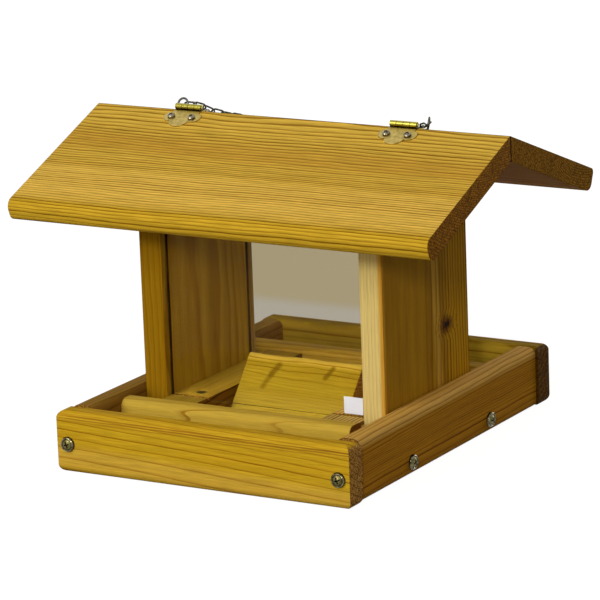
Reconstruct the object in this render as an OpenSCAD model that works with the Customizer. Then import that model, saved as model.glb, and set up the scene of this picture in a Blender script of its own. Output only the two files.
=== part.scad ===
// Hanging cedar hopper bird feeder with a hinged gable roof.
// X runs along the ridge, the front is -Y, and the rails stand on z = 0.

/* [Boards] */
// Thickness of the tray, wall and floor boards
board_t = 19; // [16:0.5:22]
// Radius of the rounded rail edges
rail_round = 6; // [3:0.5:7]
// Radius of the rounded strip edges
strip_round = 6; // [2:0.5:6]

/* [Tray] */
// Length of the tray along the ridge, over the side rails
tray_l = 248; // [225:1:300]
// How far the long rails stand past the side rails at each end
rail_overhang = 2; // [0.5:0.5:4]
// Radius of the long rails' end corners
rail_end_round = 6; // [2:0.5:8]
// Outer depth of the tray from front to rear
tray_w = 318; // [290:1:360]
// Height of the four outer rails
rail_h = 48; // [44:1:60]
// Height of the floor's underside above the ground
floor_lift = 1; // [0:0.5:3]
// Depth of the floor board from front to rear
floor_w = 204; // [196:1:230]
// Height of the strips above the floor
strip_h = 24; // [20:1:30]
// Gap between the front strip and the right rail
front_strip_gap = 11; // [1:1:20]
// Thickness of the two strips
strip_t = 18; // [14:0.5:20]

/* [Hopper] */
// Depth of the end panels
panel_w = 132; // [120:1:150]
// Width of the cross battens
batten_w = 32; // [26:1:36]
// Thickness of the cross battens
batten_t = 19; // [15:0.5:22]
// Thickness of the clear panes
pane_t = 2.5; // [2:0.1:4]
// Distance from a panel's edge to its pane groove
groove_inset = 6.6; // [5:0.2:10]
// Depth of the pane grooves in the panels
groove_d = 6; // [4:0.5:8]
// Depth of the pane kerfs in the battens
kerf_d = 1.5; // [1:0.5:6]
// Height of the seed deflector above the floor
deflector_h = 43.5; // [36:0.5:50]
// Slope of the seed deflector
deflector_slope = 49.4; // [45:0.2:56]
// Thickness of the deflector boards
deflector_t = 15; // [12:0.5:18]
// Rounding along the deflector's ridge
deflector_round = 4; // [2:0.5:6]

/* [Roof] */
// Length of the roof along the ridge
roof_l = 359; // [320:1:420]
// Width of the front roof board down its slope
roof_w = 142; // [130:1:160]
// Width of the rear roof board down its slope
rear_roof_w = 146; // [134:1:164]
// Thickness of the roof boards
roof_t = 18; // [15:0.5:20]
// Slope of the roof
roof_slope = 21.1; // [18:0.1:26]
// Height of the ridge above the ground
ridge_h = 248.4; // [230:0.2:290]
// Radius of the rounded eaves
eave_round = 7; // [4:0.5:7]
// Radius along the upper edge of the rear eave
rear_eave_round = 3.5; // [2:0.5:7]

/* [Hinges] */
// Place of the left hinge along the ridge
left_hinge_x = -97; // [-110:1:-70]
// Place of the right hinge along the ridge
right_hinge_x = 91; // [70:1:110]
// Length of a hinge barrel
barrel_l = 22.8; // [20:0.4:30]
// Outer radius of a hinge barrel
barrel_r = 2.3; // [2:0.1:2.8]
// Radius of the hinge pin
hinge_pin_r = 0.9; // [0.7:0.1:1.1]
// Thickness of the hinge leaves
leaf_t = 0.9; // [0.6:0.1:1.2]
// Radius of a leaf's side lobes
side_lobe_r = 6.1; // [5.5:0.1:7.5]
// Distance of a side lobe's middle from the leaf's middle
side_lobe_x = 10; // [9:0.1:12]
// Distance of a side lobe's middle from the ridge
side_lobe_v = 11; // [9:0.1:13]
// Radius of a leaf's middle lobe
mid_lobe_r = 8; // [7:0.1:9]
// Distance of the middle lobe's middle from the ridge
mid_lobe_v = 16; // [14:0.1:18]
// Distance of the leaf screws from the leaf's middle
leaf_screw_x = 9; // [7:0.1:10]
// Distance of the leaf screws from the ridge
leaf_screw_v = 11.8; // [10:0.1:13]

/* [Fasteners] */
// Shank radius of the wood screws
screw_r = 2; // [1.6:0.1:2.4]
// Head radius of the wood screws
screw_head_r = 3.9; // [3.5:0.1:4.4]
// Length of the wood screws
screw_l = 42; // [38:1:48]
// Length of the screws through the battens
batten_screw_l = 32; // [26:1:34]
// Outer radius of the cup washers
washer_r = 5.9; // [5.4:0.1:6.6]
// Height of the cup washers
washer_h = 2.3; // [2:0.1:3]
// Distance of the corner screws from the side rails' outer faces
corner_screw_in = 7.4; // [6.6:0.2:10]
// Height of the corner screws
corner_screw_z = 22.5; // [18:0.5:28]
// Distance of the floor's end screws from its middle
floor_screw_y = 62; // [50:1:80]
// Distance of the batten screws from the middle
batten_screw_y = 45; // [30:1:48]
// Distance of the batten screws from the battens' inner edges
batten_screw_in = 14; // [10:1:20]
// Shank radius of the hinge screws
small_screw_r = 1.2; // [1:0.1:1.4]
// Head radius of the hinge screws
small_head_r = 2.9; // [2.5:0.1:3.2]
// Length of the hinge screws
small_screw_l = 14; // [10:1:15]

/* [Hanging chain] */
// Wire thickness of the chain
chain_wire = 1.4; // [1.2:0.1:1.5]
// Inner length of a chain link
link_in_l = 8.2; // [8:0.1:9]
// Inner width of a chain link
link_in_w = 4; // [3.8:0.1:4.6]
// Wire thickness of the screw eyes
eye_wire = 1.7; // [1.5:0.1:2]
// Radius of a screw eye's ring, to the middle of its wire
eye_r = 4.2; // [4:0.1:5]
// Distance of the screw eyes from the leaf's middle
eye_x = 13.6; // [12.6:0.1:14.2]
// Turn of the right screw eye's ring, in degrees
right_eye_turn = -60; // [-75:5:-45]

/* [Hidden] */
$fn = 48;

// clearances
screw_fit = 0.1;      // round a screw's shank in its hole
pane_fit = 0.25;      // each side of a pane in its groove
pane_end_fit = 0.5;   // at a pane's ends and top
deflector_gap = 3.8;  // from a deflector's end to the batten
mitre_gap = 0.3;      // from the middle to each roof board's mitre
lid_gap = 0.2;        // under the closed lid
pin_fit = 0.05;       // round the hinge pin
knuckle_gap = 0.3;    // between neighbouring knuckles
knuckle_room = 0.3;   // round the other leaf's knuckles
leaf_lift = 0.05;     // from a leaf to its roof board
barrel_lift = 0.1;    // from a barrel to the roof boards
overrun = 1;          // how far a cutting shape runs past a face

// boards
inner_x = tray_l / 2 - board_t;
inner_y = tray_w / 2 - board_t;
long_rail_l = tray_l + 2 * rail_overhang;
floor_top = floor_lift + board_t;
panel_in_x = inner_x - board_t;
batten_in_x = panel_in_x - batten_w;
batten_top = floor_top + batten_t;
strip_y = floor_w / 2 - strip_t / 2;
batten_l = floor_w - 2 * strip_t;
strip_screw_x = inner_x * 2 / 3;

// panes
groove_w = pane_t + 2 * pane_fit;
groove_y = panel_w / 2 - groove_inset - groove_w / 2;
pane_bottom = batten_top - kerf_d;
pane_l = 2 * (panel_in_x + groove_d - pane_end_fit);

// roof
roof_run = roof_t / cos(roof_slope);
function under_roof(y) = ridge_h - roof_run - abs(y) * tan(roof_slope);
pane_top = under_roof(groove_y + groove_w / 2) - pane_end_fit;

// hinge
axis_h = ridge_h + (barrel_r + barrel_lift) / cos(roof_slope);
knuckles = 4;
knuckle_l = barrel_l / knuckles;
leaf_top_v = 0.8;  // where a leaf's plate starts below the ridge
head_h = 2.8;      // height of a hinge screw's pan head
head_side_h = 1.4; // height of a pan head's upright side
pin_head_r = 1.4;
pin_head_h = 0.4;

// screw eyes, in the outer holes of the rear leaves
eye_lift = eye_r + eye_wire / 2 + leaf_t + leaf_lift + 0.3;
left_eye_x = left_hinge_x - eye_x;
right_eye_x = right_hinge_x + eye_x;

// Route of the chain on the rear slope: along the ridge, down the slope, and height above it.
link_end_r = link_in_w / 2 + chain_wire / 2;
link_rest = link_end_r * sin(45) + chain_wire / 2 + 0.2;
eye_reach = eye_r - eye_wire / 2 - chain_wire / 2 - 0.1;
chain_route = [
    [left_eye_x + eye_reach, leaf_screw_v, eye_lift],
    [left_eye_x + 9.5, 12.8, 6.4],
    [left_eye_x + 16, 17, 5.6],
    [left_eye_x + 22, 22, 3.6],
    [left_eye_x + 30, 29, link_rest],
    [left_eye_x + 44, 43, link_rest],
    [-42, 60, link_rest],
    [-4, 70, link_rest],
    [36, 66, link_rest],
    [right_eye_x - 38, 50, link_rest],
    [right_eye_x - 22, 32, link_rest],
    [right_eye_x - 13, 25, 4.4],
    [right_eye_x - 6, 19.8, 5.2],
    [right_eye_x - eye_reach * cos(right_eye_turn), leaf_screw_v - eye_reach * sin(right_eye_turn), eye_lift]
];

// Catmull-Rom curve through four points
function curve(a, b, c, d, t) =
    0.5 * (2 * b + (c - a) * t + (2 * a - 5 * b + 4 * c - d) * t * t + (3 * b - a - 3 * c + d) * t * t * t);
route_steps = 12;
route_last = len(chain_route) - 1;
route_points = [
    for (i = [0:route_last - 1]) for (k = [0:route_steps - 1])
        curve(chain_route[max(i - 1, 0)], chain_route[i], chain_route[i + 1],
              chain_route[min(i + 2, route_last)], k / route_steps),
    chain_route[route_last]
];
route_pieces = [for (i = [1:len(route_points) - 1]) norm(route_points[i] - route_points[i - 1])];
route_runs = [
    for (i = 0, run = 0; i <= len(route_pieces);
         run = run + (i < len(route_pieces) ? route_pieces[i] : 0), i = i + 1) run
];
route_length = route_runs[len(route_runs) - 1];
function route_at(s) = [
    for (axis = [0:2]) lookup(s, [for (i = [0:len(route_runs) - 1]) [route_runs[i], route_points[i][axis]]])
];
links = ceil(route_length / (link_in_l - 0.4));
link_step = route_length / links;

wood = "#B98A3C";
wood_dark = "#8A6430";
brass = "#B8AA60";
steel = "#9A9A94";

// ---- shapes that repeat ----

// Rectangle with round corners, from circles and squares
module round_rect(w, h, r) {
    square([w - 2 * r, h], center = true);
    square([w, h - 2 * r], center = true);
    for (x = [-1, 1], y = [-1, 1])
        translate([x * (w / 2 - r), y * (h / 2 - r)]) circle(r);
}

// Board on edge along X with its four long edges rounded
module edge_board(l, t, h, r)
    rotate([90, 0, 90]) linear_extrude(l, center = true) round_rect(t, h, r);

// Slope frames: X along the ridge, Y down the slope, Z out of the roof
module rear_slope() translate([0, 0, ridge_h]) rotate([-roof_slope, 0, 0]) children();
module front_slope() mirror([0, 1, 0]) rear_slope() children();

// Countersunk screw with its head's flat top at z = 0, pointing down
screw_tip = screw_r * 1.5;
cone_h = screw_head_r - screw_r;
module wood_screw(l) {
    translate([0, 0, -l]) cylinder(r = screw_r, h = l);
    translate([0, 0, -cone_h]) cylinder(r1 = screw_r, r2 = screw_head_r, h = cone_h);
    translate([0, 0, -l - screw_tip]) cylinder(r1 = 0.3, r2 = screw_r, h = screw_tip);
}
module wood_screw_hole(l) {
    translate([0, 0, -l - screw_tip - screw_fit])
        cylinder(r = screw_r + screw_fit, h = l + screw_tip + overrun);
    translate([0, 0, -cone_h - screw_fit])
        cylinder(r1 = screw_r, r2 = screw_head_r + screw_fit, h = cone_h + screw_fit);
}

// Cup washer on a face at z = 0, with a rounded lip and the cone that its screw's head sits in
head_sink = 0.5;      // from the lip down to the head's edge
head_seat = washer_h - head_sink;
lip_r = screw_head_r + screw_fit + head_sink;
module cup_washer()
    rotate_extrude() polygon([
        [screw_r + screw_fit, 0], [washer_r, 0], [washer_r, washer_h * 0.2],
        [washer_r - (washer_r - lip_r) * 0.15, washer_h * 0.55],
        [washer_r - (washer_r - lip_r) * 0.4, washer_h * 0.85],
        [washer_r - (washer_r - lip_r) * 0.75, washer_h], [lip_r, washer_h],
        [screw_r + screw_fit, washer_h - (lip_r - screw_r - screw_fit)]
    ]);

// Crossed slots that a driver turns, cut down from z = 0
recess_turn = 20;
module cross_recess(reach, depth) {
    slot_w = reach / 4.5;
    for (turn = [0, 90]) rotate([0, 0, turn + recess_turn])
        translate([-reach / 2, -slot_w / 2, -depth]) cube([reach, slot_w, depth + overrun]);
}

// Spherical cap on a round head, from z = 0 up
module cap(r, h) {
    sphere_r = (r * r + h * h) / (2 * h);
    intersection() {
        translate([0, 0, h - sphere_r]) sphere(sphere_r);
        cylinder(r = r, h = h + overrun);
    }
}

// Oval-head screw sitting in a cup washer on a face at z = 0
dome_h = 1.1;
recess_depth = 1.5;
module washer_screw() translate([0, 0, head_seat]) difference() {
    union() {
        wood_screw(screw_l);
        cap(screw_head_r, dome_h);
    }
    translate([0, 0, dome_h]) cross_recess(screw_head_r * 1.2, recess_depth);
}
module washer_screw_hole()
    translate([0, 0, head_seat - screw_l - screw_tip - screw_fit])
        cylinder(r = screw_r + screw_fit, h = screw_l + screw_tip + overrun);

// Places of the screws, each with Z pointing out of the screwed face
module at_corner_screws()
    for (x = [-1, 1], y = [-1, 1])
        translate([x * (tray_l / 2 - corner_screw_in), y * tray_w / 2, corner_screw_z])
            rotate([-90 * y, 0, 0]) children();
module at_floor_end_screws()
    for (x = [-1, 1], y = [-1, 1])
        translate([x * tray_l / 2, y * floor_screw_y, floor_lift + board_t / 2])
            rotate([0, 90 * x, 0]) children();
module at_batten_screws()
    for (x = [-1, 1], y = [-1, 1])
        translate([x * (batten_in_x + batten_screw_in), y * batten_screw_y, batten_top]) children();
module at_panel_screws()
    for (x = [-1, 1], y = [-1, 1])
        translate([x * (inner_x - board_t / 2), y * panel_w * 0.3, floor_lift])
            rotate([180, 0, 0]) children();
module at_strip_screws()
    for (x = [-1, 1], y = [-1, 1])
        translate([x * strip_screw_x, y * strip_y, floor_lift]) rotate([180, 0, 0]) children();
module at_roof_screws()
    rear_slope() for (x = [-1, 1], v = [0.28, 0.72])
        translate([x * (inner_x - board_t / 2), v * panel_w / 2 / cos(roof_slope), 0]) children();

// ---- tray ----
module front_rail() color(wood) rail(-1);
module rear_rail() color(wood) rail(1);
module rail(side)
    difference() {
        translate([0, side * (tray_w - board_t) / 2, rail_h / 2]) intersection() {
            edge_board(long_rail_l, board_t, rail_h, rail_round);
            rotate([90, 0, 0]) linear_extrude(board_t + 2 * overrun, center = true)
                round_rect(long_rail_l, rail_h, rail_end_round);
        }
        at_corner_screws() washer_screw_hole();
    }

module left_rail() color(wood_dark) side_rail(-1);
module right_rail() color(wood_dark) side_rail(1);
module side_rail(side)
    difference() {
        translate([side * (tray_l - board_t) / 2, 0, rail_h / 2])
            rotate([0, 0, 90]) edge_board(2 * inner_y, board_t, rail_h, rail_round);
        at_corner_screws() washer_screw_hole();
        at_floor_end_screws() washer_screw_hole();
    }

module floor_board() color(wood)
    difference() {
        translate([-inner_x, -floor_w / 2, floor_lift]) cube([2 * inner_x, floor_w, board_t]);
        at_floor_end_screws() washer_screw_hole();
        at_batten_screws() wood_screw_hole(batten_screw_l);
        at_panel_screws() wood_screw_hole(screw_l);
        at_strip_screws() wood_screw_hole(batten_screw_l);
    }

// The front strip lies against the left rail and ends short of the right one.
module front_strip() color(wood) strip(-1, front_strip_gap);
module rear_strip() color(wood) strip(1, 0);
module strip(side, gap)
    difference() {
        translate([-gap / 2, side * strip_y, floor_top + strip_h / 2])
            edge_board(2 * inner_x - gap, strip_t, strip_h, strip_round);
        at_strip_screws() wood_screw_hole(batten_screw_l);
    }

// ---- hopper ----
module left_batten() color(wood_dark) batten(-1);
module right_batten() color(wood_dark) batten(1);
module batten(side)
    difference() {
        translate([side * (panel_in_x - batten_w / 2), 0, floor_top + batten_t / 2])
            cube([batten_w, batten_l, batten_t], center = true);
        for (y = [-1, 1])
            translate([side * (panel_in_x - batten_w / 2), y * groove_y, batten_top])
                cube([batten_w + 2 * overrun, groove_w, 2 * kerf_d], center = true);
        at_batten_screws() wood_screw_hole(batten_screw_l);
    }

// End panel: its gable follows the roof, with a little room under the lid
module left_panel() color(wood_dark) end_panel(-1);
module right_panel() color(wood_dark) end_panel(1);
module end_panel(side)
    difference() {
        translate([side * (inner_x - board_t / 2), 0, 0])
            rotate([90, 0, 90]) linear_extrude(board_t, center = true) polygon([
                [-panel_w / 2, floor_top], [panel_w / 2, floor_top],
                [panel_w / 2, under_roof(panel_w / 2)], [0, under_roof(0)], [0, under_roof(0) - lid_gap],
                [-panel_w / 2, under_roof(panel_w / 2) - lid_gap]
            ]);
        for (y = [-1, 1])
            translate([side * panel_in_x, y * groove_y, pane_bottom + ridge_h / 2])
                cube([2 * groove_d, groove_w, ridge_h], center = true);
        at_panel_screws() wood_screw_hole(screw_l);
        at_roof_screws() wood_screw_hole(screw_l);
    }

module front_pane() color("lightsteelblue", 0.4) pane(-1);
module rear_pane() color("lightsteelblue", 0.4) pane(1);
module pane(side)
    translate([-pane_l / 2, side * groove_y - pane_t / 2, pane_bottom])
        cube([pane_l, pane_t, pane_top - pane_bottom]);

// Sloped board of the deflector, mitred at the middle, with a rounded ridge
module front_deflector() color(wood) mirror([0, 1, 0]) deflector();
module rear_deflector() color(wood) deflector();
module deflector() {
    foot = deflector_h / tan(deflector_slope);
    foot_t = deflector_t / sin(deflector_slope);
    mitre_h = deflector_t / cos(deflector_slope);
    round_drop = deflector_round / cos(deflector_slope);
    round_y = deflector_round * sin(deflector_slope);
    round_z = deflector_h - round_drop + deflector_round * cos(deflector_slope);
    translate([0, 0, floor_top]) rotate([90, 0, 90])
        linear_extrude(2 * (batten_in_x - deflector_gap), center = true) {
            polygon([
                [0, deflector_h - mitre_h], [foot - foot_t, 0], [foot, 0],
                [round_y, round_z], [0, deflector_h - round_drop]
            ]);
            intersection() {
                translate([0, deflector_h - round_drop]) circle(deflector_round);
                polygon([
                    [0, deflector_h], [0, deflector_h - round_drop], [round_y, round_z], [round_y, deflector_h]
                ]);
            }
        }
}

// ---- roof ----
module roof_lid() color(wood)
    difference() {
        mirror([0, 1, 0]) roof_board(roof_w, eave_round);
        at_lid_leaf_screws() small_screw_hole();
    }
module rear_roof_board() color(wood)
    difference() {
        roof_board(rear_roof_w, rear_eave_round);
        at_rear_leaf_screws() small_screw_hole();
        at_screw_eyes() small_screw_hole();
        at_roof_screws() wood_screw_hole(screw_l);
    }
// Board down the rear slope: an upright mitre at the ridge and a rounded eave
module roof_board(width, top_round)
    intersection() {
        rear_slope() rotate([90, 0, 90]) linear_extrude(roof_l, center = true) {
            translate([-roof_t, -roof_t]) square([width + roof_t - eave_round, roof_t]);
            translate([0, eave_round - roof_t]) {
                square([width - top_round, roof_t - eave_round]);
                square([width, roof_t - eave_round - top_round]);
            }
            translate([width - eave_round, eave_round - roof_t]) circle(eave_round);
            translate([width - top_round, -top_round]) circle(top_round);
        }
        translate([-roof_l, mitre_gap, 0]) cube([2 * roof_l, 2 * width, 2 * ridge_h]);
    }

// ---- hinges ----
module at_leaf_holes(x)
    for (side = [-1, 1]) translate([x + side * leaf_screw_x, leaf_screw_v, leaf_t + leaf_lift]) children();
module at_lid_leaf_screws() front_slope() {
    at_leaf_holes(left_hinge_x) children();
    at_leaf_holes(right_hinge_x) children();
}
// The rear leaves' outer holes hold the screw eyes.
module at_rear_leaf_screws() rear_slope()
    for (x = [left_hinge_x + leaf_screw_x, right_hinge_x - leaf_screw_x])
        translate([x, leaf_screw_v, leaf_t + leaf_lift]) children();
module at_screw_eyes() rear_slope()
    for (x = [left_eye_x, right_eye_x]) translate([x, leaf_screw_v, leaf_t + leaf_lift]) children();

// Pan-head screw whose head stands on z = 0
module small_screw() difference() {
    union() {
        translate([0, 0, -small_screw_l]) cylinder(r = small_screw_r, h = small_screw_l);
        cylinder(r = small_head_r, h = head_side_h);
        translate([0, 0, head_side_h]) cap(small_head_r, head_h - head_side_h);
    }
    translate([0, 0, head_h]) cross_recess(small_head_r * 1.25, recess_depth);
}
module small_screw_hole()
    translate([0, 0, -small_screw_l - screw_fit])
        cylinder(r = small_screw_r + screw_fit, h = small_screw_l + overrun);

module knuckle(i, r)
    translate([(i - knuckles / 2) * knuckle_l + knuckle_gap / 2, 0, 0])
        rotate([0, 90, 0]) cylinder(r = r, h = knuckle_l - knuckle_gap);

// Three-lobed leaf on the rear slope, with the knuckles whose number leaves the remainder `turn`
module leaf(x, turn, holes)
    translate([x, 0, 0]) difference() {
        union() {
            difference() {
                rear_slope() translate([0, 0, leaf_lift]) linear_extrude(leaf_t) difference() {
                    union() {
                        translate([-barrel_l / 2, leaf_top_v]) square([barrel_l, side_lobe_v - leaf_top_v]);
                        for (side = [-1, 1]) translate([side * side_lobe_x, side_lobe_v]) circle(side_lobe_r);
                        translate([0, mid_lobe_v]) circle(mid_lobe_r);
                        translate([-side_lobe_x, side_lobe_v]) square([2 * side_lobe_x, mid_lobe_v - side_lobe_v]);
                    }
                    for (hole = holes) translate([hole, leaf_screw_v]) circle(small_screw_r + screw_fit);
                }
                translate([0, 0, axis_h]) for (i = [0:knuckles - 1])
                    if (i % 2 != turn) translate([(i - knuckles / 2 + 0.5) * knuckle_l, 0, 0])
                        rotate([0, 90, 0])
                            cylinder(r = barrel_r + knuckle_room, h = knuckle_l + knuckle_gap, center = true);
            }
            translate([0, 0, axis_h]) for (i = [0:knuckles - 1]) if (i % 2 == turn) knuckle(i, barrel_r);
        }
        translate([0, 0, axis_h]) rotate([0, 90, 0])
            cylinder(r = hinge_pin_r + pin_fit, h = barrel_l + 2 * overrun, center = true);
    }
module left_lid_leaf() color(brass) mirror([0, 1, 0]) leaf(left_hinge_x, 0, [-leaf_screw_x, leaf_screw_x]);
module right_lid_leaf() color(brass) mirror([0, 1, 0]) leaf(right_hinge_x, 0, [-leaf_screw_x, leaf_screw_x]);
module left_rear_leaf() color(brass) leaf(left_hinge_x, 1, [-eye_x, leaf_screw_x]);
module right_rear_leaf() color(brass) leaf(right_hinge_x, 1, [-leaf_screw_x, eye_x]);

module left_hinge_pin() color(brass) hinge_pin(left_hinge_x);
module right_hinge_pin() color(brass) hinge_pin(right_hinge_x);
module hinge_pin(x)
    translate([x, 0, axis_h]) rotate([0, 90, 0]) {
        cylinder(r = hinge_pin_r, h = barrel_l, center = true);
        for (side = [0, 1]) mirror([0, 0, side])
            translate([0, 0, barrel_l / 2]) cylinder(r = pin_head_r, h = pin_head_h);
    }

module lid_leaf_screws() color(steel) at_lid_leaf_screws() small_screw();
module rear_leaf_screws() color(steel) at_rear_leaf_screws() small_screw();

// ---- hanging chain ----
module screw_eye(x, turn) rear_slope() translate([x, leaf_screw_v, 0]) rotate([0, 0, turn]) {
    translate([0, 0, eye_lift]) rotate([90, 0, 0])
        rotate_extrude() translate([eye_r, 0]) circle(eye_wire / 2);
    translate([0, 0, leaf_t + leaf_lift - small_screw_l]) cylinder(r = small_screw_r, h = small_screw_l);
    translate([0, 0, leaf_t + leaf_lift]) cylinder(r = eye_wire / 2, h = eye_lift - eye_r - leaf_t - leaf_lift);
}
module left_screw_eye() color(steel) screw_eye(left_eye_x, 0);
module right_screw_eye() color(steel) screw_eye(right_eye_x, right_eye_turn);

// Oval link along X, flat in XY
module link() {
    straight = link_in_l - link_in_w;
    for (side = [-1, 1]) {
        translate([side * straight / 2, 0, 0]) rotate([0, 0, -90 * side])
            rotate_extrude(angle = 180) translate([link_end_r, 0]) circle(chain_wire / 2, $fn = 24);
        translate([-straight / 2, side * link_end_r, 0]) rotate([0, 90, 0])
            cylinder(r = chain_wire / 2, h = straight, $fn = 24);
    }
}
// Each link lies tilted half a quarter turn, the other way from the one before.
module hanging_chain() color(steel) rear_slope()
    for (i = [0:links - 1]) {
        from = route_at(i * link_step);
        to = route_at((i + 1) * link_step);
        along = to - from;
        translate((from + to) / 2)
            rotate([0, -asin(along[2] / norm(along)), atan2(along[1], along[0])])
                rotate([i % 2 == 0 ? 45 : -45, 0, 0]) link();
    }

// ---- screws and washers ----
module cup_washers() color(steel) {
    at_corner_screws() cup_washer();
    at_floor_end_screws() cup_washer();
}
module corner_screws() color(steel) at_corner_screws() washer_screw();
module floor_end_screws() color(steel) at_floor_end_screws() washer_screw();
module batten_screws() color(steel) at_batten_screws() wood_screw(batten_screw_l);
module panel_screws() color(steel) at_panel_screws() wood_screw(screw_l);
module strip_screws() color(steel) at_strip_screws() wood_screw(batten_screw_l);
module roof_screws() color(steel) at_roof_screws() wood_screw(screw_l);

front_rail();
rear_rail();
left_rail();
right_rail();
floor_board();
front_strip();
rear_strip();
left_batten();
right_batten();
left_panel();
right_panel();
front_pane();
rear_pane();
front_deflector();
rear_deflector();
roof_lid();
rear_roof_board();
left_lid_leaf();
left_rear_leaf();
right_lid_leaf();
right_rear_leaf();
left_hinge_pin();
right_hinge_pin();
lid_leaf_screws();
rear_leaf_screws();
left_screw_eye();
right_screw_eye();
hanging_chain();
cup_washers();
corner_screws();
floor_end_screws();
batten_screws();
panel_screws();
strip_screws();
roof_screws();
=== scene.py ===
"""Cedar hopper bird feeder with a hinged gable roof, hung by a chain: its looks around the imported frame."""

import math

import bmesh
import bpy
from mathutils import Euler, Matrix, Vector


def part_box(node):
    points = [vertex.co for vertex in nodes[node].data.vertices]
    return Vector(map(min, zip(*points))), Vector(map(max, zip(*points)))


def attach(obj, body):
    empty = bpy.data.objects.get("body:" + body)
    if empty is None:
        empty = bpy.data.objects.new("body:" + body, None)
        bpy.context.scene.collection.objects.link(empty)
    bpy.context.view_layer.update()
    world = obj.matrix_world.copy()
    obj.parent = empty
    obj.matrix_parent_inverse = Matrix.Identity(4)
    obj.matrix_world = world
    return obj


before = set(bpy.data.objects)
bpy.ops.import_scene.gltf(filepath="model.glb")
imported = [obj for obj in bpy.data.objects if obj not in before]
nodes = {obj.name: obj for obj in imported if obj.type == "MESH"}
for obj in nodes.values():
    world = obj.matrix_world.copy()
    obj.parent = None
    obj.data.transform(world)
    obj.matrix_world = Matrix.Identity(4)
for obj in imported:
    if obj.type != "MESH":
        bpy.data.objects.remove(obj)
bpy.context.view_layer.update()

# ---- camera ----
# A long lens from the front right, a little above the tray and slightly rolled.
camera_azimuth = math.radians(30.77)
camera_elevation = math.radians(14.13)
camera_roll = math.radians(-2.15)
camera_target = Vector((-0.00452, 0, 0.10709))
camera_distance = 2.9919
sensor_width, focal_length = 36, 235.2
camera_back = Vector((
    math.sin(camera_azimuth) * math.cos(camera_elevation),
    -math.cos(camera_azimuth) * math.cos(camera_elevation),
    math.sin(camera_elevation),
))
level_right = (-camera_back).cross(Vector((0, 0, 1))).normalized()
level_up = level_right.cross(-camera_back)
camera_right = math.cos(camera_roll) * level_right + math.sin(camera_roll) * level_up
camera_up = -math.sin(camera_roll) * level_right + math.cos(camera_roll) * level_up
camera = bpy.data.objects.new("camera", bpy.data.cameras.new("camera"))
camera.data.sensor_width = sensor_width
camera.data.lens = focal_length
camera_turn = Matrix((camera_right, camera_up, camera_back)).transposed().to_4x4()
camera.matrix_world = Matrix.Translation(camera_target + camera_back * camera_distance) @ camera_turn
bpy.context.collection.objects.link(camera)
bpy.context.scene.camera = camera


# ---- floor, backdrop and lamps ----
# A white sweep under plain soft light: a wide soft box high at the front left, a weaker one low beside it, a
# small one at the front right and two wide ones behind. Through the panes the white backdrop and floor show a
# painted beige shade instead.
def linear(colour):
    """sRGB hex to linear RGBA."""
    channels = [int(colour[i : i + 2], 16) / 255 for i in (1, 3, 5)]
    return tuple(c / 12.92 if c <= 0.04045 else ((c + 0.055) / 1.055) ** 2.4 for c in channels) + (1,)


def add(tree, kind, settings=(), **inputs):
    """Adds a node with its settings (or only its operation), and sets or links its inputs.

    An input is n and its number, or its name with a double underscore for each space.
    """
    node = tree.nodes.new("ShaderNode" + kind)
    if isinstance(settings, str):
        settings = {"operation": settings}
    for name, value in dict(settings).items():
        setattr(node, name, value)
    for name, value in inputs.items():
        key = int(name[1:]) if name[0] == "n" and name[1:].isdigit() else name.replace("__", " ")
        socket = node.inputs[key]
        if isinstance(value, bpy.types.NodeSocket):
            tree.links.new(value, socket)
        else:
            socket.default_value = value
    return node


def bare(owner):
    """The empty node tree of a new material or world."""
    owner.use_nodes = True
    owner.node_tree.nodes.clear()
    return owner.node_tree


soft_step = {"interpolation_type": "SMOOTHSTEP"}
colours = {"data_type": "RGBA"}
white, room_tone = "#FFFFFF", "#FFF6E4"
# painted shade: beige tones that the backdrop and floor show only through the panes
backdrop_shade, far_floor_shade, near_floor_shade = "#B4A88E", "#B4A98F", "#BAB5B0"
room_strength = 0.27

studio = bpy.data.worlds.new("studio")
bpy.context.scene.world = studio
tree = bare(studio)
rays = add(tree, "LightPath").outputs
seen = add(tree, "Math", "MAXIMUM", n0=rays["Is Camera Ray"], n1=rays["Is Glossy Ray"]).outputs[0]
room = add(tree, "Background", Color=linear(room_tone), Strength=room_strength).outputs[0]
backdrop = add(tree, "Background", Color=linear(white), Strength=1.0).outputs[0]
# through the panes the white backdrop shows a painted beige shade
shade_through_panes = add(tree, "Background", Color=linear(backdrop_shade), Strength=1.0).outputs[0]
sky = add(tree, "MixShader", n0=seen, n1=room, n2=backdrop).outputs[0]
sky = add(tree, "MixShader", n0=rays["Is Transmission Ray"], n1=sky, n2=shade_through_panes).outputs[0]
add(tree, "OutputWorld", Surface=sky)

# the floor is warm grey to the object, white with the object's shadow to the eye, and through the panes a
# painted shade, paler near the hopper and, beyond a step, as beige as the backdrop's
floor_radius, floor_drop = 3.2, 0.0002
shade_step_near, shade_step_far = 0.34, 0.38
floor_mesh = bmesh.new()
bmesh.ops.create_circle(floor_mesh, cap_ends=True, segments=48, radius=floor_radius,
                        matrix=Matrix.Translation((0, 0, -floor_drop)))
floor = bpy.data.objects.new("floor", bpy.data.meshes.new("floor"))
floor_mesh.to_mesh(floor.data)
floor_mesh.free()
bpy.context.collection.objects.link(floor)
white_sweep = bpy.data.materials.new("white_sweep")
tree = bare(white_sweep)
rays = add(tree, "LightPath").outputs
seen = add(tree, "Math", "MAXIMUM", n0=rays["Is Camera Ray"], n1=rays["Is Glossy Ray"]).outputs[0]
place = add(tree, "TexCoord").outputs["Object"]
depth = add(tree, "SeparateXYZ", Vector=place).outputs["Y"]
beyond = add(tree, "MapRange", soft_step, Value=depth, From__Min=shade_step_near, From__Max=shade_step_far).outputs[0]
matt = add(tree, "BsdfDiffuse", Color=linear("#625C50")).outputs[0]
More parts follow.
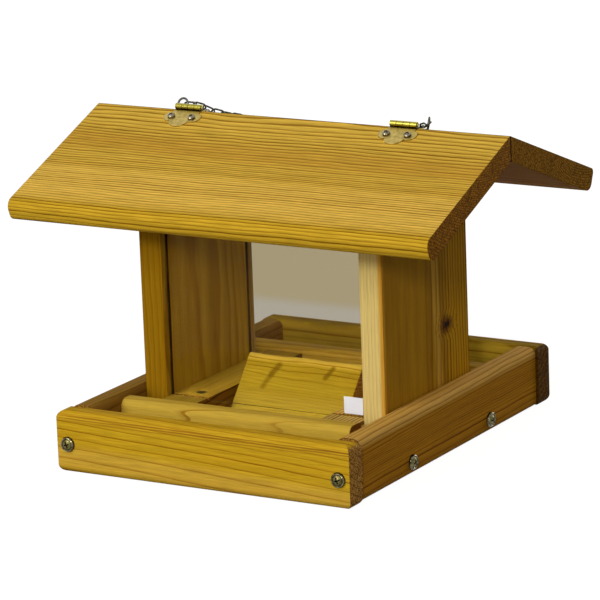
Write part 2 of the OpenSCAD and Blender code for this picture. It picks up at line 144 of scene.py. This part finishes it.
glow = add(tree, "Emission", Color=linear(white), Strength=0.95).outputs[0]
shaded = add(tree, "BsdfDiffuse", Color=linear("#6E6E6E")).outputs[0]
bright = add(tree, "AddShader", n0=glow, n1=shaded).outputs[0]
# the painted shade seen through the panes, paler on the floor near the hopper
shade_through_panes_tone = add(tree, "Mix", colours, Factor=beyond, n6=linear(near_floor_shade), n7=linear(far_floor_shade)).outputs[2]
shade_through_panes = add(tree, "Emission", Color=shade_through_panes_tone, Strength=1.0).outputs[0]
surface = add(tree, "MixShader", n0=seen, n1=matt, n2=bright).outputs[0]
surface = add(tree, "MixShader", n0=rays["Is Transmission Ray"], n1=surface, n2=shade_through_panes).outputs[0]
add(tree, "OutputMaterial", Surface=surface)
floor.data.materials.append(white_sweep)

hopper_middle = Vector((0, 0, 0.1))


def lamp(name, azimuth, elevation, distance, size, watts, colour):
    """A square soft box at an azimuth from the front towards +X, facing the hopper."""
    light = bpy.data.lights.new(name, "AREA")
    light.size = size
    light.energy = watts
    light.color = linear(colour)[:3]
    box = bpy.data.objects.new(name, light)
    turn, rise = math.radians(azimuth), math.radians(elevation)
    toward = Vector((math.sin(turn) * math.cos(rise), -math.cos(turn) * math.cos(rise), math.sin(rise)))
    box.location = hopper_middle + toward * distance
    box.rotation_euler = toward.to_track_quat("Z", "Y").to_euler()
    bpy.context.collection.objects.link(box)


lamp("key_box", azimuth=-20, elevation=30, distance=2.3, size=0.9, watts=21.5, colour="#FFFBF4")
lamp("low_box", azimuth=-12, elevation=4, distance=2.6, size=0.8, watts=12, colour="#FFFBF4")
lamp("fill_box", azimuth=23, elevation=22, distance=2.6, size=0.3, watts=20, colour="#FFFAF0")
lamp("back_box", azimuth=165, elevation=10, distance=2.6, size=1.0, watts=20, colour="#FFFAF0")
lamp("rear_box", azimuth=188, elevation=6, distance=2.6, size=0.8, watts=13, colour="#FFFAF0")


# ---- long rails ----
# Two rails of western red cedar, planed, with routed edges and a coat of oil, screwed over the ends of the
# side rails. The front one is golden, with a few thin lines that fall towards the right, close brown lines
# along its top edge and a paler foot. The rear one's ends are darker, and its right end is painted darker
# still: painted shade where the side rail meets it.
mm = 0.001
sanded_arris = 0.9 * mm


def finish_with(material, *names):
    """Puts a material on CAD nodes."""
    for name in names:
        nodes[name].data.materials.clear()
        nodes[name].data.materials.append(material)


def cedar(name, node, turn, pith, spacing, tone, warm, line="#A08448", width=0.16, slant=(0, 0),
          swell=(0, 100, 0), wave=0.8, warmth=0.35, grain=0.16, end_dark="#5A3808", end_light="#C08C40",
          end_rows=0.7, bands=(), knots=(), scars_and_shade_lines=(), calm=(), gaps=(), gloss=0.01):
    """Oiled cedar for one board, in millimetres and degrees along its own axes: the grain, across, through.

    Growth rings are cylinders round the tree's pith, which passes each board at a place and slant of its own.
    So faces show thin dark lines, with long arcs where the slant is bigger, and ends show the rings' curves
    between specks of open grain. The lines bunch up where the swell (amount, period, crest) slows the growth.
    width: how much of a year's growth is dark. wave: how far the lines wander, in mm
    warmth and grain: how strong the warm streaks and the fibres are
    end_rows: how clear of specks the end grain's rings are
    bands and gaps: a plane's direction and offset, reach, softness, shade, strength; gaps cross end grain too.
    Some bands are painted light and shade, and gaps are painted shade of the gaps between boards
    scars_and_shade_lines: start, end, reach, softness, shade, strength; for scars and grain lines, and for
    painted shade along the pane grooves
    calm: a plane's direction and offset, reach, softness, and how much the rings fade there
    knots: place and size
    gloss: the specular level, low because the oil has sunk in and left the wood nearly matt
    """
    material = bpy.data.materials.new(name)
    tree = bare(material)
    low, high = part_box(node)
    turned = Euler([math.radians(a) for a in turn]).to_matrix()
    middle = turned @ (Vector(low) + Vector(high)) / 2 / mm
    place = add(tree, "TexCoord").outputs
    board = add(tree, "Mapping", Vector=place["Object"], Location=-middle, Rotation=turned.to_euler(),
                Scale=(1 / mm, 1 / mm, 1 / mm)).outputs[0]

    def noise(scales, detail, rough, low_end, high_end, soft=0.2):
        """Noise stretched along the board, from cycles per millimetre, spread over a range of values."""
        spot = add(tree, "VectorMath", "MULTIPLY", n0=board, n1=scales).outputs[0]
        fac = add(tree, "TexNoise", Vector=spot, Scale=1.0, Detail=detail, Roughness=rough).outputs["Fac"]
        return add(tree, "MapRange", Value=fac, From__Min=0.5 - soft, From__Max=0.5 + soft,
                   To__Min=low_end, To__Max=high_end).outputs[0]

    def off_plane(direction, offset):
        """Distance from a plane across a direction."""
        away = add(tree, "VectorMath", "DOT_PRODUCT", n0=board, n1=direction).outputs["Value"]
        away = add(tree, "Math", "SUBTRACT", n0=away, n1=offset).outputs[0]
        return add(tree, "Math", "ABSOLUTE", n0=away).outputs[0]

    def stain_and_painted_shade(under, away, near, far, shade, strength):
        """Lays a colour over a colour, for stains and painted shade alike, at full strength up to a near
        distance and at none from a far one.
        """
        share = add(tree, "MapRange", soft_step, Value=away, From__Min=near, From__Max=far,
                    To__Min=strength, To__Max=0.0).outputs[0]
        return add(tree, "Mix", colours, Factor=share, n6=under, n7=linear(shade)).outputs[2]

    # distance from the pith, with slow waves along the grain, small wobbles, and bulges round knots
    tilt = Euler((0, math.radians(slant[0]), math.radians(slant[1]))).to_matrix()
    tree_axes = add(tree, "Mapping", Vector=board, Location=-(tilt @ Vector((0, *pith))),
                    Rotation=tilt.to_euler()).outputs[0]
    across = add(tree, "VectorMath", "MULTIPLY", n0=tree_axes, n1=(0, 1, 1)).outputs[0]
    radius = add(tree, "VectorMath", "LENGTH", n0=across).outputs["Value"]
    slow = noise((0.004, 0.02, 0.02), 1.0, 0.5, -2 * wave, 2 * wave)
    wobble = noise((0.02, 0.07, 0.07), 2.0, 0.5, -0.5 * wave, 0.5 * wave)
    for drift in (slow, wobble):
        radius = add(tree, "Math", "ADD", n0=radius, n1=drift).outputs[0]
    late_stains_and_shades = []
    for spot, size in knots:
        away = add(tree, "VectorMath", "SUBTRACT", n0=board, n1=spot).outputs[0]
        away = add(tree, "VectorMath", "MULTIPLY", n0=away, n1=(0.75, 0.5, 0.5)).outputs[0]
        away = add(tree, "VectorMath", "LENGTH", n0=away).outputs["Value"]
        ragged = noise((0.25, 0.4, 0.4), 2.0, 0.5, -1.2, 1.2)
        away = add(tree, "Math", "ADD", n0=away, n1=ragged).outputs[0]
        bulge = add(tree, "MapRange", soft_step, Value=away, From__Min=0.0, From__Max=size * 5,
                    To__Min=size * 2, To__Max=0.0).outputs[0]
        radius = add(tree, "Math", "ADD", n0=radius, n1=bulge).outputs[0]
        late_stains_and_shades.append((away, size * 0.8, size * 3.2, "#4C2408", 0.9))
        late_stains_and_shades.append((away, size * 0.6, size * 1.1, "#1E0F06", 1.0))

    # rings: slow growth gives close lines at the swell's crest, and each year's line has a strength of its own
    amount, period, crest = swell
    beat = add(tree, "Math", "MULTIPLY_ADD", n0=radius, n1=2 * math.pi / period,
               n2=-2 * math.pi * crest / period).outputs[0]
    beat = add(tree, "Math", "SINE", n0=beat).outputs[0]
    rings = add(tree, "Math", "DIVIDE", n0=radius, n1=spacing).outputs[0]
    rings = add(tree, "Math", "MULTIPLY_ADD", n0=beat, n1=amount, n2=rings).outputs[0]
    phase = add(tree, "Math", "FRACT", n0=rings).outputs[0]
    year = add(tree, "Math", "FLOOR", n0=rings).outputs[0]
    lot = add(tree, "TexWhiteNoise", {"noise_dimensions": "1D"}, W=year).outputs["Value"]
    weight = add(tree, "MapRange", Value=lot, To__Min=0.45, To__Max=1.0).outputs[0]
    growth = add(tree, "ValToRGB", Fac=phase)
    stops = growth.color_ramp.elements
    stops[1].color = (0, 0, 0, 1)
    for widths_left, shade in ((3.2, 0.05), (1.5, 0.4), (0.9, 1.0), (0.2, 1.0)):
        stops.new(1 - widths_left * width).color = (shade, shade, shade, 1)
    late_wood = growth.outputs[0]
    ring = add(tree, "Math", "MULTIPLY", n0=late_wood, n1=weight).outputs[0]
    for direction, offset, reach, soft, strength in calm:
        left = add(tree, "MapRange", soft_step, Value=off_plane(direction, offset), From__Min=reach,
                   From__Max=reach + soft, To__Min=1 - strength, To__Max=1.0).outputs[0]
        ring = add(tree, "Math", "MULTIPLY", n0=ring, n1=left).outputs[0]

    # colour: warm streaks on the ground, bands, the rings as a tint, scars and painted shade lines, then fibres.
    # The fibres are drawn about 1 mm wide, twice as coarse as real ones, so that they show.
    streaks = noise((0.005, 0.09, 0.09), 3.0, 0.6, 0.0, warmth, 0.15)
    colour = add(tree, "Mix", colours, Factor=streaks, n6=linear(tone), n7=linear(warm)).outputs[2]
    for direction, offset, reach, soft, shade, strength in bands:
        colour = stain_and_painted_shade(colour, off_plane(direction, offset), reach, reach + soft, shade, strength)
    tint = {"data_type": "RGBA", "blend_type": "MULTIPLY"}
    colour = add(tree, "Mix", tint, Factor=ring, n6=colour, n7=linear(line)).outputs[2]
    for start, end, reach, soft, shade, strength in scars_and_shade_lines:
        run = Vector(end) - Vector(start)
        away = add(tree, "VectorMath", "SUBTRACT", n0=board, n1=start).outputs[0]
        share = add(tree, "VectorMath", "DOT_PRODUCT", n0=away, n1=run / run.length_squared).outputs["Value"]
        share = add(tree, "Clamp", Value=share).outputs[0]
        foot = add(tree, "VectorMath", "SCALE", n0=run, Scale=share).outputs[0]
        away = add(tree, "VectorMath", "DISTANCE", n0=away, n1=foot).outputs["Value"]
        ragged = noise((0.02, 0.3, 0.3), 2.0, 0.5, -0.35, 0.35)
        away = add(tree, "Math", "ADD", n0=away, n1=ragged).outputs[0]
        colour = stain_and_painted_shade(colour, away, reach, reach + soft, shade, strength)
    fibres = noise((0.04, 1.0, 1.0), 3.0, 0.7, 1.0 - grain, 1.0 + grain * 0.8)
    colour = add(tree, "VectorMath", "SCALE", n0=colour, Scale=fibres).outputs[0]

    # end grain drinks more oil: dark, with light specks in rows between the rings
    along = turned.transposed() @ Vector((1, 0, 0))
    facing = add(tree, "VectorMath", "DOT_PRODUCT", n0=place["Normal"], n1=along).outputs["Value"]
    facing = add(tree, "Math", "ABSOLUTE", n0=facing).outputs[0]
    ends = add(tree, "MapRange", soft_step, Value=facing, From__Min=0.6, From__Max=0.9).outputs[0]
    specks = noise((0.9, 0.9, 0.9), 3.0, 0.75, 0.0, 1.0, 0.09)
    rows = add(tree, "Math", "MULTIPLY_ADD", n0=late_wood, n1=-end_rows, n2=1.0).outputs[0]
    specks = add(tree, "Math", "MULTIPLY", n0=specks, n1=rows).outputs[0]
    end_grain = add(tree, "Mix", colours, Factor=specks, n6=linear(end_dark), n7=linear(end_light)).outputs[2]
    colour = add(tree, "Mix", colours, Factor=ends, n6=colour, n7=end_grain).outputs[2]
    # gaps are painted shade, laid after the end grain so that they cross it
    for direction, offset, reach, soft, shade, strength in gaps:
        late_stains_and_shades.append((off_plane(direction, offset), reach, reach + soft, shade, strength))
    for late_mark in late_stains_and_shades:
        colour = stain_and_painted_shade(colour, *late_mark)

    # arrises: rounded a little by sanding, and darker where oil gathers
    soft_edges = add(tree, "Bevel", {"samples": 4}, Radius=sanded_arris).outputs[0]
    true_face = add(tree, "NewGeometry").outputs["Normal"]
    flat = add(tree, "VectorMath", "DOT_PRODUCT", n0=soft_edges, n1=true_face).outputs["Value"]
    arris = add(tree, "MapRange", Value=flat, From__Min=0.99, From__Max=0.8, To__Min=0.0,
                To__Max=0.45).outputs[0]
    colour = add(tree, "Mix", tint, Factor=arris, n6=colour, n7=linear("#B58A4A")).outputs[2]
    rough = add(tree, "MapRange", Value=fibres, From__Min=0.9, From__Max=1.08, To__Min=0.62,
                To__Max=0.5).outputs[0]
    height = add(tree, "Math", "MULTIPLY_ADD", n0=ring, n1=0.5, n2=fibres).outputs[0]
    relief = add(tree, "Bump", Height=height, Strength=0.5, Distance=0.3 * mm, Normal=soft_edges).outputs[0]
    shader = add(tree, "BsdfPrincipled", Base__Color=colour, Roughness=rough, Normal=relief,
                 Specular__IOR__Level=gloss).outputs[0]
    add(tree, "OutputMaterial", Surface=shader)
    finish_with(material, node)


along_x = (0, 0, 0)
cedar("front_rail_cedar", "front_rail", along_x, pith=(60, 120), spacing=5.4, tone="#C39F22", warm="#BA8A14",
      line="#B49450", width=0.1, slant=(-3.0, 0.4), swell=(0.9, 90, 112), wave=0.6, grain=0.22,
      end_dark="#5E3C0C", end_light="#D09C50",
      bands=(((0, 0, 1), 25, 6, 5, "#C69E26", 0.6),
             ((0.03, 0, 1), -15, 4, 9, "#CBA544", 0.6)),
      scars_and_shade_lines=(((-160, -9.5, 16.8), (160, -9.5, 15.0), 0.0, 0.7, "#946818", 0.65),
             ((-160, -9.5, 18.8), (160, -9.5, 17.0), 0.1, 0.7, "#8E6018", 0.8),
             ((-160, -9.2, 20.6), (160, -9.5, 18.9), 0.1, 0.7, "#8A5C16", 0.85),
             ((-160, -8.5, 22.4), (160, -9.2, 20.8), 0.0, 0.7, "#8E6018", 0.75)))
cedar("rear_rail_cedar", "rear_rail", along_x, pith=(-60, 90), spacing=4.5, tone="#A08626", warm="#89661D",
      line="#B89C60", slant=(-0.8, 0.4), end_dark="#2E1A04", end_light="#7A541C",
      bands=(((0, 1, 0), 12, 6, 4, "#B48830", 0.8),
             # painted shade at the right end, where the side rail meets it
             ((1, 0, 0), 127, 3, 1.5, "#40260A", 0.9)))

# ---- side rails ----
# Two shorter rails of the same cedar between the long ones, each held by its ends and by two screws into the
# floor. They are browner, with close dark lines. The right one has painted shade at its front end, where it
# meets the front rail, and a paler top of painted light. The left one has painted shade on its inner face.
along_y = (0, 0, -90)
cedar("left_rail_cedar", "left_rail", along_y, pith=(-80, 60), spacing=3.0, tone="#A07D30", warm="#805B1D",
      # painted shade: the whole inner face is darkened
      slant=(0.5, 0.6), bands=(((0, -1, 0), 12.5, 4, 3, "#744A18", 0.5),))
cedar("right_rail_cedar", "right_rail", along_y, pith=(70, 90), spacing=2.1, tone="#B9821F", warm="#956210",
      width=0.18, slant=(0.9, 0.4), swell=(1.5, 34, 117), wave=0.8,
      # painted light: the top and its rounded edges are made paler than the side
      bands=(((0, 0, 1), 25, 6, 4, "#D8AD59", 0.8),
             # painted shade in the joint at the front end, where the front rail meets it
             ((1, 0, 0), -141, 1.6, 1.4, "#2E1A06", 0.9)))

# ---- floor, strips and battens ----
# The bottom board of the tray, held by the screws in the side rails, with a strip along its front and rear and
# a batten at the foot of each end panel. The front strip is flat sawn, so its lines are long nested arcs.
cedar("floor_cedar", "floor_board", along_x, pith=(20, 50), spacing=5.5, tone="#916B2C", warm="#7A531C",
      slant=(1.2, 0.6))
cedar("front_strip_cedar", "front_strip", along_x, pith=(13, 2), spacing=5.0, tone="#CCAD44", warm="#C29C34",
      line="#C4A66A", width=0.05, slant=(-0.4, -3.4), wave=0.4, end_dark="#6E4416", end_light="#8E5C22")
cedar("rear_strip_cedar", "rear_strip", along_x, pith=(10, 50), spacing=4.0, tone="#B19339", warm="#91712B",
      line="#CCB47E", slant=(0.8, 0.6))
cedar("left_batten_cedar", "left_batten", along_y, pith=(-90, 30), spacing=2.5, tone="#B69833", warm="#96741F",
      # painted shade: the inner side, facing the deflector, is darkened
      line="#8C6C38", slant=(0.4, 0.6), bands=(((0, 1, 0), -18, 2.6, 1, "#7A5014", 0.9),))
# painted light: the right batten's tones are raised far above the left one's to lift the shade it sits in
cedar("right_batten_cedar", "right_batten", along_y, pith=(90, 30), spacing=3.3, tone="#E0BD63", warm="#C09840",
      line="#5C3414", width=0.3, slant=(0.4, 0.2), wave=0.3)

# ---- end panels ----
# Upright cedar boards with gable tops, screwed from below, with painted shade in the pane grooves. The right
# one has pale sapwood down its front edge, an orange arris, a light streak and one pin knot.
upright = (0, 90, 0)
# painted shade along the pane grooves on the panels' inner faces
groove_shade = "#1E1204"
cedar("left_panel_cedar", "left_panel", upright, pith=(-30, 120), spacing=4.4, tone="#95751D", warm="#785810",
      line="#DCC890", width=0.24, slant=(0.3, 0.5), wave=1.0, warmth=0.45,
      bands=(((0, 1, 0), -78, 13, 3, "#926D0F", 1.0),
             ((0, 1, 0), 76, 16, 2, "#A08248", 0.9)),
      scars_and_shade_lines=(((-87, -57.9, -9.2), (81, -57.9, -9.2), 1.8, 0.6, groove_shade, 0.9),
             ((-87, 57.9, -9.2), (81, 57.9, -9.2), 1.8, 0.6, groove_shade, 0.8)))
cedar("right_panel_cedar", "right_panel", upright, pith=(-50, -110), spacing=3.0, tone="#AD821A", warm="#926413",
      line="#8C6C38", width=0.2, slant=(0.3, 0.3), wave=0.8, warmth=0.6, knots=(((-33.3, 31.1, -9.5), 2.2),),
      bands=(((0, 1, 0), 52, 14, 12, "#C39217", 0.8),
             ((0, 0.78, -0.62), -64, 17.4, 1.2, "#D9C27A", 1.0),
             ((0, 0.78, 0.62), -58.5, 2.6, 1.2, "#C8922C", 0.9),
             ((0.047, 1, 0), 15.0, 3.6, 3.0, "#CCA040", 0.7)),
      calm=(((0, 1, 0), -26, 22, 14, 0.92),
            ((0, 0.78, -0.62), -64, 17.4, 1.2, 0.75)),
      scars_and_shade_lines=(((-87, -57.9, 9.2), (81, -57.9, 9.2), 1.8, 0.6, groove_shade, 0.9),
             ((-87, 57.9, 9.2), (81, 57.9, 9.2), 1.8, 0.6, groove_shade, 0.8)))

# ---- seed deflector ----
# Two cedar boards leaning on each other between the battens, so that seed slides out to both panes. The front
# one has two resin scars under its paler ridge.
deflector_slope = 49.4
cedar("front_deflector_cedar", "front_deflector", (-deflector_slope, 0, 0), pith=(70, 25), spacing=3.2,
      tone="#A18A24", warm="#8B7017", line="#BEA45C", width=0.14, slant=(1.2, 2.4), wave=2.2, warmth=0.7,
      calm=(((0, 1, 0), -18, 20, 14, 0.5),),
      bands=(((0, 1, 0), -24, 12, 14, "#A89133", 0.8),
             ((0, 1, 0), 27, 3, 4, "#BB9E3E", 0.8)),
      scars_and_shade_lines=(((-21, 19, 0.7), (-25, 11, 0.7), 0.8, 3.4, "#5E4408", 0.7),
             ((-25, 11, 0.7), (-29, 0, 0.7), 0.6, 3.0, "#6A500C", 0.6),
             ((26, 21, 0.7), (22, 13, 0.7), 0.7, 2.8, "#5E4408", 0.7)))
cedar("rear_deflector_cedar", "rear_deflector", (deflector_slope, 0, 0), pith=(70, 25), spacing=3.2,
      tone="#A18A24", warm="#8B7017", line="#BEA45C", width=0.14, slant=(0.8, 2.4), wave=2.2, warmth=0.7)

# ---- roof boards ----
# Two wide cedar boards with round eaves that meet in an upright mitre: the lid on its hinges, and the rear one
# screwed down. The lid has close lines down its middle, wide wavy ones along its ridge and strong ones over its
# olive eave. The rear one's underside is painted darker than its top, and the mitre gap is painted as a dark
# line on its end: both are painted shade.
roof_slope = 21.1
cedar("lid_cedar", "roof_lid", (-roof_slope, 0, 0), pith=(130, 190), spacing=2.12, tone="#E0BB4B",
      warm="#D3A339", line="#8E6E28", width=0.24, slant=(0.05, 0.15), swell=(3.0, 130, 226), wave=0.7,
      grain=0.26, end_dark="#502C00", end_light="#BE8323",
      bands=(((0, 1, 0), 62, 10, 14, "#E9C24F", 0.8),
             ((0, 1, 0), 22, 6, 9, "#CD9F3B", 0.6),
             ((0, 1, 0), -34, 12, 18, "#F1C95E", 0.7),
             ((0, 1, 0), -71, 7, 6, "#C8A222", 0.8)))
rear_roof_low, rear_roof_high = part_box("rear_roof_board")
mitre = (rear_roof_low[1] - rear_roof_high[1]) / 2 / mm
cedar("rear_roof_cedar", "rear_roof_board", (roof_slope, 0, 0), pith=(42, 78), spacing=1.9, tone="#C8A040",
      warm="#B88830", line="#A8894A", wave=0.6, end_dark="#583808", end_light="#B68530", end_rows=0.95,
      # painted shade: the underside is darker and browner than the top
      bands=(((0, 0, 1), -10, 4, 3, "#B37C0A", 1.0),),
      # painted shade of the mitre gap, a dark line on the end
      gaps=(((0, 0.933, 0.36), mitre, 0.7, 0.8, "#140A02", 0.95),), gloss=0.004)

# ---- hinges ----
# Brass-plated steel, pressed and rolled round headed pins: bright on the barrels but darker on their lower
# halves from painted shade, dulled to khaki by handling in smears about 3 mm across on the flat leaves, and
# darkened by painted shade in the joints between the knuckles and other nooks.
brass = bpy.data.materials.new("brass_plated_steel")
tree = bare(brass)
pin_low, pin_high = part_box("left_hinge_pin")
pin_height = (pin_low[2] + pin_high[2]) / 2
place = add(tree, "TexCoord").outputs["Object"]
smears = add(tree, "TexNoise", Vector=place, Scale=320.0, Detail=4.0, Roughness=0.65).outputs["Fac"]
smears = add(tree, "MapRange", Value=smears, From__Min=0.38, From__Max=0.66).outputs[0]
from_pin = add(tree, "VectorMath", "SUBTRACT", n0=place, n1=(0, 0, pin_height)).outputs[0]
from_pin = add(tree, "VectorMath", "MULTIPLY", n0=from_pin, n1=(0, 1, 1)).outputs[0]
from_pin = add(tree, "VectorMath", "LENGTH", n0=from_pin).outputs["Value"]
on_leaf = add(tree, "MapRange", soft_step, Value=from_pin, From__Min=2.6 * mm, From__Max=4.5 * mm).outputs[0]
leaf_tone = add(tree, "Mix", colours, Factor=smears, n6=linear("#C8B060"), n7=linear("#A4904C")).outputs[2]
height = add(tree, "SeparateXYZ", Vector=place).outputs["Z"]
# painted shade: the barrels darken below the pin's middle
under = add(tree, "MapRange", soft_step, Value=height, From__Min=pin_height - 1.4 * mm,
            From__Max=pin_height + 0.4 * mm, To__Min=1.0, To__Max=0.0).outputs[0]
barrel_tone = add(tree, "Mix", colours, Factor=under, n6=linear("#A49A40"), n7=linear("#524610")).outputs[2]
tone = add(tree, "Mix", colours, Factor=on_leaf, n6=barrel_tone, n7=leaf_tone).outputs[2]
# painted shade in nooks within 1.2 mm, found by ambient occlusion
corners = add(tree, "AmbientOcclusion", {"samples": 8}, Distance=1.2 * mm).outputs["AO"]
occlusion_shade = add(tree, "MapRange", soft_step, Value=corners, From__Min=0.25, From__Max=0.8, To__Min=1.0,
            To__Max=0.0).outputs[0]
tone = add(tree, "Mix", colours, Factor=occlusion_shade, n6=tone, n7=linear("#3A3010")).outputs[2]
leaf_rough = add(tree, "MapRange", Value=smears, To__Min=0.36, To__Max=0.52).outputs[0]
rough = add(tree, "Mix", Factor=on_leaf, n2=0.2, n3=leaf_rough).outputs[0]
soft_edges = add(tree, "Bevel", {"samples": 4}, Radius=0.3 * mm).outputs[0]
relief = add(tree, "Bump", Height=smears, Strength=0.25, Distance=0.1 * mm, Normal=soft_edges).outputs[0]
shader = add(tree, "BsdfPrincipled", Base__Color=tone, Metallic=1.0, Roughness=rough, Normal=relief).outputs[0]
add(tree, "OutputMaterial", Surface=shader)
finish_with(brass, "left_lid_leaf", "right_lid_leaf", "left_rear_leaf", "right_rear_leaf", "left_hinge_pin",
            "right_hinge_pin")


# ---- chain, washers and screws ----
# Zinc-plated wire chain and eyes, nickel-plated cup washers and antique-finished screws: bright and dull in
# smears about 2 mm across, and darkened by painted shade in recesses and joints, so that only their open high
# edges keep their tone.
def steel(name, bright, dull, occlusion_tone, smooth, rough, edge, joint, unshaded_from, fittings):
    """Plated steel for like fittings: its bright and dull tones, the roughness of each, and its painted shade
    tone.

    In mm, edge is how round the edges are worn and joint how far the painted shade reaches out of a joint.
    unshaded_from is how open a spot has to be, from 0 to 1, to have no painted shade.
    """
    material = bpy.data.materials.new(name)
    tree = bare(material)
    place = add(tree, "TexCoord").outputs["Object"]
    smears = add(tree, "TexNoise", Vector=place, Scale=500.0, Detail=3.0, Roughness=0.6).outputs["Fac"]
    smears = add(tree, "MapRange", Value=smears, From__Min=0.35, From__Max=0.65).outputs[0]
    tone = add(tree, "Mix", colours, Factor=smears, n6=linear(bright), n7=linear(dull)).outputs[2]
    # painted shade: darker in recesses and joints, found by ambient occlusion
    corners = add(tree, "AmbientOcclusion", {"samples": 8}, Distance=joint * mm).outputs["AO"]
    occlusion_shade = add(tree, "MapRange", soft_step, Value=corners, From__Min=unshaded_from - 0.45, From__Max=unshaded_from,
                To__Min=1.0, To__Max=0.0).outputs[0]
    tone = add(tree, "Mix", colours, Factor=occlusion_shade, n6=tone, n7=linear(occlusion_tone)).outputs[2]
    sheen = add(tree, "MapRange", Value=smears, To__Min=smooth, To__Max=rough).outputs[0]
    soft_edges = add(tree, "Bevel", {"samples": 4}, Radius=edge * mm).outputs[0]
    relief = add(tree, "Bump", Height=smears, Strength=0.3, Distance=0.1 * mm, Normal=soft_edges).outputs[0]
    shader = add(tree, "BsdfPrincipled", Base__Color=tone, Metallic=1.0, Roughness=sheen,
                 Normal=relief).outputs[0]
    add(tree, "OutputMaterial", Surface=shader)
    finish_with(material, *fittings)


steel("zinc_plated_chain", bright="#605F58", dull="#2E2C28", occlusion_tone="#1E1C14", smooth=0.25, rough=0.4,
      edge=0.15, joint=1.8, unshaded_from=0.9, fittings=("hanging_chain", "left_screw_eye", "right_screw_eye"))
# on the washers the painted shade reaches 7 mm and darkens all but the open rims, which stay light
steel("nickel_plated_washer", bright="#8A8262", dull="#2C2818", occlusion_tone="#0A0602", smooth=0.12, rough=0.25,
      edge=0.2, joint=7.0, unshaded_from=1.0, fittings=("cup_washers",))
steel("antique_screw_steel", bright="#746B42", dull="#48421F", occlusion_tone="#16120A", smooth=0.3, rough=0.45,
      edge=0.25, joint=2.4, unshaded_from=0.95, fittings=("corner_screws", "floor_end_screws", "batten_screws",
                                                  "panel_screws", "strip_screws", "roof_screws"))
steel("dark_hinge_screw_steel", bright="#A49C8A", dull="#584E3E", occlusion_tone="#14100A", smooth=0.2, rough=0.35,
      edge=0.25, joint=1.8, unshaded_from=0.92, fittings=("lid_leaf_screws", "rear_leaf_screws"))

# ---- panes ----
# Clear acrylic sheet slid into grooves: polished faces with a faint dust in patches about 17 mm across. Its IOR
# is far under the usual 1.49, because hardly any mirror image shows on the real sheet.
clear_tint = "#F4F2EA"
acrylic = bpy.data.materials.new("clear_acrylic")
tree = bare(acrylic)
rays = add(tree, "LightPath").outputs
place = add(tree, "TexCoord").outputs["Object"]
dust = add(tree, "TexNoise", Vector=place, Scale=60.0, Detail=5.0, Roughness=0.6).outputs["Fac"]
dust = add(tree, "MapRange", Value=dust, From__Min=0.4, From__Max=0.7, To__Min=0.0, To__Max=0.03).outputs[0]
sheet = add(tree, "BsdfPrincipled", Base__Color=linear(clear_tint), Roughness=dust, IOR=1.1,
            Transmission__Weight=1.0).outputs[0]
clear = add(tree, "BsdfTransparent", Color=linear(clear_tint)).outputs[0]
surface = add(tree, "MixShader", n0=rays["Is Shadow Ray"], n1=sheet, n2=clear).outputs[0]
add(tree, "OutputMaterial", Surface=surface)
finish_with(acrylic, "front_pane", "rear_pane")

# ---- label ----
# A small blank card of matt white paper with round corners, stuck low on the front pane's outer face near its
# right end. Its pulp is drawn about 1 mm across, coarser than the real one, so that it shows.
label_w, label_h, label_t, label_round = 16.3 * mm, 13.1 * mm, 0.12 * mm, 0.6 * mm
from_pane_end, from_pane_foot = 17.8 * mm, 9.8 * mm
pane_low, pane_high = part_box("front_pane")
label_middle = Vector((pane_high[0] - from_pane_end, pane_low[1] - label_t / 2, pane_low[2] + from_pane_foot))
card = bmesh.new()
bmesh.ops.create_cube(card, size=1)
corners = [edge for edge in card.edges if edge.verts[0].co.y != edge.verts[1].co.y]
bmesh.ops.scale(card, vec=(label_w, label_t, label_h), verts=card.verts)
bmesh.ops.bevel(card, geom=corners, offset=label_round, affect="EDGES", segments=4, profile=0.5)
bmesh.ops.translate(card, vec=label_middle, verts=card.verts)
label = bpy.data.objects.new("blank_label", bpy.data.meshes.new("blank_label"))
card.to_mesh(label.data)
card.free()
bpy.context.collection.objects.link(label)
paper_card = bpy.data.materials.new("matt_white_paper")
tree = bare(paper_card)
place = add(tree, "TexCoord").outputs["Object"]
pulp = add(tree, "TexNoise", Vector=place, Scale=900.0, Detail=3.0, Roughness=0.6).outputs["Fac"]
tone = add(tree, "Mix", colours, Factor=pulp, n6=linear("#E8EEFF"), n7=linear("#DCE2F4")).outputs[2]
relief = add(tree, "Bump", Height=pulp, Strength=0.2, Distance=0.05 * mm).outputs[0]
shader = add(tree, "BsdfPrincipled", Base__Color=tone, Roughness=0.7, Normal=relief).outputs[0]
add(tree, "OutputMaterial", Surface=shader)
label.data.materials.append(paper_card)
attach(label, "feeder")

bpy.context.scene.view_settings.view_transform = "Standard"
